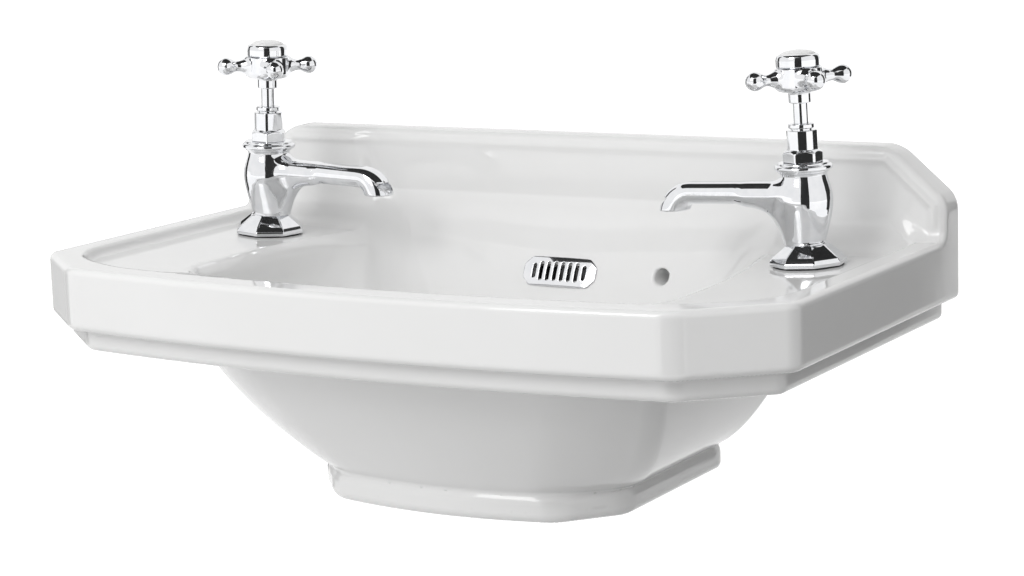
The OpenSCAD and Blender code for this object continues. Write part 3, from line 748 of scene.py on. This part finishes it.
def tap_shapes():
    """Every re-made tap piece, in the tap's own axes, with the CAD node that it stands for."""
    gland = [(4.5, 79.0, 0.1), (6.3, 79.0, 0.2), (6.3, 82.0, 0.1), (7.6, 82.0, 0.4),
             (7.9, 82.6, 0.4), (7.9, 84.4, 0.5), (7.3, 85.0, 0.4), (4.5, 85.0, 0.2)]
    ring = ([(0, 118.0), (12.2, 118.0, 0.3), (13.2, 118.7, 0.6), (13.2, 122.6, 0.8)]
            + bend((13.05, 123.3), (12.9, 125.4), (11.4, 125.9), 6)
            + [(10.6, 125.8, 0.3), (10.6, 121.0, 0.1), (0, 121.0)])
    disc = ([(0, 121.0), (10.5, 121.0, 0.1), (10.5, 125.6, 0.3)]
            + [(10.4 * math.cos(a), 125.8 + 2.7 * math.sin(a))
               for a in [math.radians(d) for d in range(10, 90, 10)]] + [(0, 128.5)])
    spindle = [(0, 47.0), (5.2, 47.0, 0.3), (5.4, 47.4, 0.2), (5.4, 66.8, 0.3), (4.4, 67.4, 0.2),
               (4.4, 103.8, 0.2), (4.0, 104.1, 0.1), (4.0, 113.6, 0.3), (3.7, 114.0, 0.2), (0, 114.0)]
    washer = [(10.6, -17.5, 0.2), (20.0, -17.5, 0.5), (20.0, -15.5, 0.5), (10.6, -15.5, 0.2)]
    gasket = [(14.0, 0.0, 0.1), (21.2, 0.0, 0.3), (21.2, 1.0, 0.3), (14.0, 1.0, 0.1)]
    return [
        ("tap_body", field_shape(tap_body, (-99, -20, -59), (20, 20, 64), 0.6), "chrome"),
        ("handle", field_shape(handle, (-27, -27, 96), (27, 27, 119), 0.5), "chrome"),
        ("bonnet", field_shape(bonnet, (-13, -13, 50), (13, 13, 82), 0.4), "chrome"),
        ("back_nut", field_shape(back_nut, (-19, -19, -28), (19, 19, -17), 0.5), "brass"),
        ("base_flange", field_shape(base_flange, (-25, -25, 0), (25, 25, 14), 0.45), "chrome"),
        ("gland_nut", turned(gland, True), "chrome"),
        ("index_ring", turned(ring), "chrome"),
        ("index_disc", turned(disc), "white_glaze"),
        ("spindle", turned(spindle), "chrome"),
        ("deck_washer", turned(washer, True), "white_plastic"),
        ("deck_gasket", turned(gasket, True), "rubber"),
    ]


NODE_BODY = {n: b for b, ns in frame["record"]["behaviour"]["bodies"].items() for n in ns}


def finish_piece(piece, node, slot):
    """Hides the CAD node that a piece stands for, puts the piece on that node's body and gives it its material."""
    piece.data.materials.append(MATERIALS[slot])
    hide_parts(node)
    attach(piece, NODE_BODY[node])


def build_taps():
    """Both taps, each piece on the body of the CAD node that it stands for."""
    for node, shape, slot in tap_shapes():
        for side, label in ((-1, "hot"), (1, "cold")):
            turn = math.radians(TURNS.get((label, node), 0.0))
            place = TAP_PLACE[side] @ Matrix.Rotation(turn, 4, "Z")
            piece = place_shape(f"{label}_{node}_fine", shape, place)
            finish_piece(piece, f"{label}_{node}", slot)


# ---------------------------------------------------------------- overflow and waste

COVER_W, COVER_H, COVER_CORNER = 27.0, 10.0, 5.5  # half-width, half-height, cut corner
SLOT_PITCH = 5.2
SLOT_R = 1.25
WASTE_R = 20.95
WASTE_PITCH = 2.309


def overflow_cover(u, v, w):
    """The grille, in its own axes: across, up and out of the wall."""
    corner = (np.abs(u) + np.abs(v) - (COVER_W + COVER_H - COVER_CORNER)) * math.sqrt(0.5)
    outline = meet(1.2, np.abs(u) - COVER_W, np.abs(v) - COVER_H, corner)
    crown = 2.6 - 0.0022 * u * u - 0.006 * v * v
    plate = meet(1.0, outline, 0.1 - w, w - crown)
    place = np.clip(np.round(u / SLOT_PITCH - 0.5), -4, 3)
    half = np.where(np.abs(place + 0.5) > 3, 4.75, 6.25) - SLOT_R
    du = u - (place + 0.5) * SLOT_PITCH
    dv = np.maximum(np.abs(v) - half, 0.0)
    return cut(0.45, plate, np.hypot(du, dv) - SLOT_R)


def grille_matrix():
    """The matrix that puts the grille on the bowl's back wall."""
    s, c = math.sin(WALL_ANGLE), math.cos(WALL_ANGLE)
    m = Matrix(((1, 0, 0, 0), (0, s, -c, 0), (0, c, s, 0), (0, 0, 0, 1)))
    m.translation = Vector(GRILLE_AT)
    return m


def waste_body(x, y, z):
    """The slotted waste with its flange, threaded tail and crossbar."""
    r = np.hypot(x, y)
    tail = meet(0.8, thread(r, x, y, z, WASTE_PITCH, WASTE_R), -165.2 - z, z + 122.5)
    neck = meet(0.3, r - WASTE_R, -130.0 - z, z + 118.0)
    dish = -117.0 - 0.09 * np.maximum(31.5 - r, 0)
    flange = meet(0.7, r - 32.0, -119.5 - z, z - dish)
    body = np.minimum(np.minimum(tail, neck), flange)
    body = cut(2.4, body, r - 17.5)
    c, s = math.cos(math.pi / 4), math.sin(math.pi / 4)
    u, v = x * c + y * s, y * c - x * s
    for across, along in ((u, v), (v, u)):
        window = meet(1.0, np.abs(across) - 5.0, 14.0 - np.abs(along), z + 124.0, -134.0 - z)
        body = cut(0.5, body, window)
    spokes = 1e9
    for k in range(3):
        a = 2 * math.pi * k / 3
        along, across = x * math.cos(a) + y * math.sin(a), y * math.cos(a) - x * math.sin(a)
        spokes = np.minimum(spokes, meet(0.6, np.abs(across) - 1.5, 7.0 - along, along - 18.5))
    hub = meet(0.5, np.minimum(spokes, r - 9.5), z + 123.0, -131.0 - z)
    hub = cut(0.4, hub, r - 7.05)
    return np.minimum(body, hub)


def waste_nut(x, y, z):
    """The hexagonal nut that pulls the waste down."""
    r = np.hypot(x, y)
    sides = np.maximum.reduce(prism(x, y, 6, 25.5, math.pi / 6))
    crown = (r - 28.4 - (z + 152.6)) * 0.7
    return cut(0.5, meet(0.6, sides, crown, -153.0 - z, z + 145.5), r - 21.0)


def build_spring():
    """The wire coil under the plug; the mesh keeps one length and does not shorten as the plug goes down."""
    low, high = box_mm("plug_spring")
    wire, mean, turns, per_turn, around = 0.6, 4.35, 7, 32, 8
    bottom, rise = low[2] + wire, high[2] - low[2] - 2 * wire
    points, normals, faces = [], [], []
    rings = turns * per_turn + 1
    for k in range(rings):
        a = 2 * math.pi * k / per_turn
        out = np.array((math.cos(a), math.sin(a), 0.0))
        middle = mean * out + (0.0, DRAIN_Y, bottom + rise * k / (rings - 1))
        for i in range(around):
            t = 2 * math.pi * i / around
            way = math.cos(t) * out + np.array((0.0, 0.0, math.sin(t)))
            points.append(middle + wire * way)
            normals.append(way)
            if k:
                a0, a1 = (k - 1) * around + i, (k - 1) * around + (i + 1) % around
                faces.append((a1, a0, a0 + around, a1 + around))
    faces.append(tuple(range(around)))
    faces.append(tuple(reversed(range((rings - 1) * around, rings * around))))
    piece = make_object("plug_spring_fine", points, faces, normals)
    finish_piece(piece, "plug_spring", "spring_steel")
    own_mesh(piece)


def build_waste():
    """The waste, its plug and seals, and the overflow's grille."""
    at = Matrix.Translation((0, DRAIN_Y, 0))
    cap = ([(0, -113.0), (15.0, -113.0, 0.2), (15.0, -112.4, 0.2), (12.0, -112.4, 0.2),
            (12.0, -109.0, 0.4), (29.2, -109.0, 0.4), (30.0, -108.4, 0.5), (30.0, -107.4, 0.6)]
           + bend((29.0, -106.3), (20.0, -104.4), (0.0, -104.2), 10))
    seal = [(21.1, -120.7, 0.2), (31.0, -120.7, 0.4), (31.0, -119.5, 0.4), (21.1, -119.5, 0.2)]
    washer = [(21.1, -144.0, 0.2), (30.0, -144.0, 0.8), (30.0, -141.0, 0.8), (21.1, -141.0, 0.2)]
    slip = [(21.1, -145.5, 0.2), (29.0, -145.5, 0.4), (29.0, -144.0, 0.4), (21.1, -144.0, 0.2)]
    ring = [(12.1, -112.4, 0.3), (17.3, -112.4, 0.9), (17.3, -109.4, 0.9), (12.1, -109.4, 0.3)]
    pieces = [
        ("waste_body", field_shape(waste_body, (-33, -33, -167), (33, 33, -115), 0.8), "chrome"),
        ("waste_back_nut", field_shape(waste_nut, (-31, -31, -155), (31, 31, -144), 0.8), "brass"),
        ("plug_cap", turned(cap, False, 128), "chrome"),
        ("waste_seal", turned(seal, True), "rubber"),
        ("waste_washer", turned(washer, True), "rubber"),
        ("waste_slip_ring", turned(slip, True), "white_plastic"),
        ("plug_ring", turned(ring, True), "rubber"),
    ]
    for node, shape, slot in pieces:
        finish_piece(place_shape(f"{node}_fine", shape, at), node, slot)
    cover = field_shape(overflow_cover, (-29, -12, -1), (29, 12, 4), 0.4)
    piece = place_shape("overflow_cover_fine", cover, grille_matrix())
    finish_piece(piece, "overflow_cover", "chrome")


# ---------------------------------------------------------------- materials

class Paint:
    """A material and short ways to add nodes to it."""

    def __init__(self, name, color, rough, metallic=0.0):
        self.mat = bpy.data.materials.new(name)
        self.mat.use_nodes = True
        self.nodes = self.mat.node_tree.nodes
        self.links = self.mat.node_tree.links
        self.shader = self.nodes["Principled BSDF"]
        self.set("Base Color", (*color, 1.0))
        self.set("Roughness", rough)
        self.set("Metallic", metallic)
        self.place = self.nodes.new("ShaderNodeTexCoord").outputs["Object"]

    def set(self, socket, value):
        self.shader.inputs[socket].default_value = value

    def noise(self, scale, detail=2.0):
        node = self.nodes.new("ShaderNodeTexNoise")
        node.inputs["Scale"].default_value = scale
        node.inputs["Detail"].default_value = detail
        self.links.new(self.place, node.inputs["Vector"])
        return node.outputs["Fac"]

    def ramp(self, value, low, high, dark, light):
        node = self.nodes.new("ShaderNodeMapRange")
        for socket, number in zip(("From Min", "From Max", "To Min", "To Max"), (low, high, dark, light)):
            node.inputs[socket].default_value = number
        self.links.new(value, node.inputs["Value"])
        return node.outputs["Result"]

    def blend(self, share, a, b, socket="Base Color"):
        """Mixes two colours, or a colour and a node's output, by a share and feeds the shader."""
        node = self.nodes.new("ShaderNodeMix")
        node.data_type = "RGBA"
        self.links.new(share, node.inputs["Factor"])
        for name, value in (("A", a), ("B", b)):
            target = [i for i in node.inputs if i.name == name and i.type == "RGBA"][0]
            if isinstance(value, tuple):
                target.default_value = (*value, 1.0)
            else:
                self.links.new(value, target)
        result = [o for o in node.outputs if o.type == "RGBA"][0]
        if socket:
            self.links.new(result, self.shader.inputs[socket])
        return result

    def combine(self, operation, a, b):
        node = self.nodes.new("ShaderNodeMath")
        node.operation = operation
        self.links.new(a, node.inputs[0])
        self.links.new(b, node.inputs[1])
        return node.outputs[0]

    def product(self, first, *others):
        for other in others:
            first = self.combine("MULTIPLY", first, other)
        return first

    def dot(self, way):
        """How far a point lies along a direction, in metres."""
        node = self.nodes.new("ShaderNodeVectorMath")
        node.operation = "DOT_PRODUCT"
        self.links.new(self.place, node.inputs[0])
        node.inputs[1].default_value = tuple(way)
        return node.outputs["Value"]

    def rough(self, value):
        self.links.new(value, self.shader.inputs["Roughness"])

    def bump(self, height, strength, distance):
        node = self.nodes.new("ShaderNodeBump")
        node.inputs["Strength"].default_value = strength
        node.inputs["Distance"].default_value = distance
        self.links.new(height, node.inputs["Height"])
        self.links.new(node.outputs["Normal"], self.shader.inputs["Normal"])


def glaze():
    """White glaze, bare clay on the flat back and painted shade, near black, inside the overflow."""
    p = Paint("white_glaze", (0.83, 0.83, 0.825), 0.06)
    p.set("IOR", 1.52)
    body = p.blend(p.ramp(p.noise(9.0), 0.3, 0.7, 0.0, 1.0), (0.82, 0.82, 0.815), (0.84, 0.84, 0.837))
    split = p.nodes.new("ShaderNodeSeparateXYZ")
    p.links.new(p.place, split.inputs[0])
    bare = p.ramp(split.outputs["Y"], -0.0012, -0.0004, 0.0, 1.0)
    body = p.blend(bare, body, (0.72, 0.68, 0.60), None)
    wall = GRILLE_OUT @ GRILLE_AT * MM
    # painted shade: the overflow channel behind the grille is coloured near black where it lies in shadow
    inside = p.product(p.ramp(split.outputs["X"], -0.0240, -0.0235, 0.0, 1.0),
                       p.ramp(split.outputs["X"], 0.0235, 0.0240, 1.0, 0.0),
                       p.ramp(split.outputs["Z"], -0.1000, -0.0900, 0.0, 1.0),
                       p.ramp(split.outputs["Y"], -0.0220, -0.0210, 1.0, 0.0),
                       p.ramp(p.dot(GRILLE_OUT), wall - 0.0045, wall - 0.0025, 1.0, 0.0))
    p.blend(inside, body, (0.03, 0.03, 0.03))
    base = p.ramp(p.noise(26.0), 0.3, 0.7, 0.045, 0.085)
    mixed = p.nodes.new("ShaderNodeMath")
    mixed.operation = "MULTIPLY_ADD"
    p.links.new(bare, mixed.inputs[0])
    mixed.inputs[1].default_value = 0.65
    p.links.new(base, mixed.inputs[2])
    p.rough(mixed.outputs[0])
    p.bump(p.noise(14.0, 3.0), 0.25, 0.0006)
    return p.mat


def chrome():
    """Polished chrome with faint wear."""
    p = Paint("chrome", (0.80, 0.81, 0.83), 0.04, 1.0)
    p.blend(p.ramp(p.noise(160.0), 0.35, 0.7, 0.0, 1.0), (0.83, 0.835, 0.85), (0.78, 0.79, 0.81))
    p.rough(p.ramp(p.noise(420.0, 4.0), 0.3, 0.75, 0.025, 0.07))
    p.bump(p.noise(240.0), 0.08, 0.00005)
    return p.mat


def brass():
    """Plain brass with tool marks."""
    p = Paint("brass", (0.74, 0.58, 0.30), 0.28, 1.0)
    p.blend(p.ramp(p.noise(120.0, 4.0), 0.35, 0.7, 0.0, 1.0), (0.78, 0.61, 0.31), (0.62, 0.46, 0.24))
    p.rough(p.ramp(p.noise(300.0, 4.0), 0.3, 0.7, 0.2, 0.42))
    p.bump(p.noise(900.0), 0.2, 0.00005)
    return p.mat


def dull(name, dark, light, rough, grain, relief):
    """Rubber, plastic or fibre: two near colours, a grain and a fine relief."""
    p = Paint(name, dark, rough)
    p.blend(p.ramp(p.noise(grain, 5.0), 0.3, 0.7, 0.0, 1.0), dark, light)
    p.rough(p.ramp(p.noise(grain * 2.3, 3.0), 0.3, 0.7, rough - 0.08, rough + 0.1))
    p.bump(p.noise(grain * 6.0, 4.0), 0.35, relief)
    return p.mat


def steel():
    """Spring wire."""
    p = Paint("spring_steel", (0.55, 0.56, 0.58), 0.3, 1.0)
    p.blend(p.ramp(p.noise(300.0, 4.0), 0.3, 0.7, 0.0, 1.0), (0.6, 0.61, 0.63), (0.46, 0.47, 0.5))
    p.rough(p.ramp(p.noise(700.0), 0.3, 0.7, 0.22, 0.4))
    return p.mat


MATERIALS = {
    "white_glaze": glaze(),
    "chrome": chrome(),
    "brass": brass(),
    "rubber": dull("rubber", (0.012, 0.012, 0.013), (0.03, 0.03, 0.032), 0.6, 300.0, 0.00008),
    "white_plastic": dull("white_plastic", (0.74, 0.74, 0.72), (0.8, 0.8, 0.79), 0.42, 220.0, 0.00004),
    "fibre": dull("fibre", (0.05, 0.018, 0.012), (0.09, 0.032, 0.02), 0.75, 420.0, 0.0001),
    "spring_steel": steel(),
}


def dress_cad():
    """Gives every CAD node that stays its own procedural finish."""
    slots = {part["node"]: part["material_slot"] for part in frame["record"]["subparts"]}
    for name, node in frame["nodes"].items():
        node.data.materials.clear()
        node.data.materials.append(MATERIALS[slots[name]])


# ---------------------------------------------------------------- studio

CAMERA_AZ = math.radians(30.47)
CAMERA_EL = math.radians(10.07)
CAMERA_ROLL = math.radians(-1.9)
CAMERA_LENS = 94.78
CAMERA_REACH = 1635.9 * MM
CAMERA_AIM = Vector((27.8, -150.0, -21.0)) * MM
FLOOR_Z = -0.80
FLOOR_HALF = 60.0  # metres from the middle to each edge, so that no horizon shows
FLOOR_SHADE = 0.3
FLOOR_GLOW = 0.85
SKY = 1.0
KEY_PLACE = (-0.4, -2.2, 1.5)
KEY_AIM = (0, -0.15, 0)
KEY_SIZE = (0.9, 1.2)
KEY_POWER = 17
GLAZE, CHROME, BOTH = "glaze", "chrome", "both"  # what a panel is seen by
CARDS = [  # name, azimuth in degrees from the front, distance, width, low, high, shade, seen by
    ("dim_right", 98.0, 2.0, 4.8, -0.1, 2.6, 0.7, GLAZE),
    ("dim_right_low", 98.0, 2.0, 4.8, -0.78, -0.1, 0.4, GLAZE),
    ("dim_left", -95.0, 2.5, 2.4, -0.75, 2.0, 0.5, GLAZE),
    ("dim_corner", -112.0, 2.3, 0.8, -0.75, 0.0, 0.75, BOTH),
    ("dark_camera", 27.0, 2.4, 1.45, -0.7, 2.1, 0.01, CHROME),
    ("dark_edge", 136.0, 2.2, 1.3, -0.7, 2.0, 0.01, CHROME),
    ("dark_left", -95.0, 2.4, 0.75, -0.7, 2.0, 0.01, CHROME),
    ("dark_rear", -138.0, 2.4, 1.0, -0.7, 0.25, 0.01, CHROME),
]
LEVELS = [  # name, middle, half-width, half-depth, shade, seen by
    ("dim_roof", (0.0, 0.6, 2.3), 1.6, 1.4, 0.75, GLAZE),
    ("dim_low", (0.0, -0.2, FLOOR_Z + 0.02), 8.0, 8.0, 0.72, GLAZE),
    ("dim_low_right", (4.2, -1.0, FLOOR_Z + 0.04), 4.0, 4.0, 0.22, GLAZE),
    ("dark_roof", (0.0, -0.3, 1.6), 1.3, 1.1, 0.01, CHROME),
]


def aim(thing, place, target):
    """Puts a camera or lamp at a place, looking at a target."""
    thing.location = place
    thing.rotation_euler = (Vector(target) - Vector(place)).to_track_quat("-Z", "Y").to_euler()


def build_camera():
    """The camera of the photo: its angle, distance and lens."""
    data = bpy.data.cameras.new("camera")
    data.lens = CAMERA_LENS
    data.sensor_width = 36.0
    data.clip_start, data.clip_end = 0.05, 50.0
    camera = bpy.data.objects.new("camera", data)
    bpy.context.scene.collection.objects.link(camera)
    away = Vector((math.sin(CAMERA_AZ) * math.cos(CAMERA_EL),
                   -math.cos(CAMERA_AZ) * math.cos(CAMERA_EL), math.sin(CAMERA_EL)))
    aim(camera, CAMERA_AIM + away * CAMERA_REACH, CAMERA_AIM)
    camera.rotation_euler = (camera.rotation_euler.to_matrix()
                             @ Matrix.Rotation(CAMERA_ROLL, 3, "Z")).to_euler()
    bpy.context.scene.camera = camera


def soft_light(name, place, target, size, power):
    """A rectangular lamp that shines at a target."""
    data = bpy.data.lights.new(name, "AREA")
    data.shape = "RECTANGLE"
    data.size, data.size_y = size
    data.energy = power
    lamp = bpy.data.objects.new(name, data)
    bpy.context.scene.collection.objects.link(lamp)
    aim(lamp, place, target)


def studio_paint(name, shade, glow):
    """A plain grey paint that may glow."""
    mat = bpy.data.materials.new(name)
    mat.use_nodes = True
    values = mat.node_tree.nodes["Principled BSDF"].inputs
    values["Base Color"].default_value = (shade, shade, shade, 1)
    values["Roughness"].default_value = 0.6
    values["Emission Color"].default_value = (1, 1, 1, 1)
    values["Emission Strength"].default_value = glow
    return mat


def panel(name, middle, across, along, shade, seen_by=None, glow=0.0):
    """A flat studio panel between middle -/+ across and -/+ along, in metres."""
    m, a, b = (np.array(v, float) for v in (middle, across, along))
    corners = np.array([m - a - b, m + a - b, m + a + b, m - a + b])
    piece = make_object(name, corners / MM, [(0, 1, 2, 3)])
    piece.data.materials.append(studio_paint(f"{name}_paint", shade, glow))
    if seen_by:
        piece.visible_camera = False
        piece.visible_shadow = seen_by != CHROME
        piece.visible_diffuse = seen_by != CHROME
        piece.visible_glossy = seen_by != GLAZE


def build_studio():
    """White surroundings with panels that shade the glaze and give the chrome its dark bands."""
    bpy.context.scene.view_settings.view_transform = "Standard"
    world = bpy.data.worlds.new("studio")
    bpy.context.scene.world = world
    world.use_nodes = True
    sky = world.node_tree.nodes["Background"].inputs
    sky["Color"].default_value = (1, 1, 1, 1)
    sky["Strength"].default_value = SKY
    panel("floor", (0, 0, FLOOR_Z), (FLOOR_HALF, 0, 0), (0, FLOOR_HALF, 0), FLOOR_SHADE, glow=FLOOR_GLOW)
    for name, azimuth, reach, width, low, high, shade, seen_by in CARDS:
        a = math.radians(azimuth)
        middle = (reach * math.sin(a), -reach * math.cos(a), (low + high) / 2)
        across = (width / 2 * math.cos(a), width / 2 * math.sin(a), 0)
        panel(name, middle, across, (0, 0, (high - low) / 2), shade, seen_by)
    for name, middle, half_width, half_depth, shade, seen_by in LEVELS:
        panel(name, middle, (half_width, 0, 0), (0, half_depth, 0), shade, seen_by)
    soft_light("key", KEY_PLACE, KEY_AIM, KEY_SIZE, KEY_POWER)


def build():
    """Camera, studio, pieces, and finishes for the CAD nodes that stay."""
    build_camera()
    build_studio()
    finish_piece(build_basin(), "basin", "white_glaze")
    build_taps()
    build_waste()
    build_spring()
    dress_cad()


build()
bpy.context.view_layer.update()
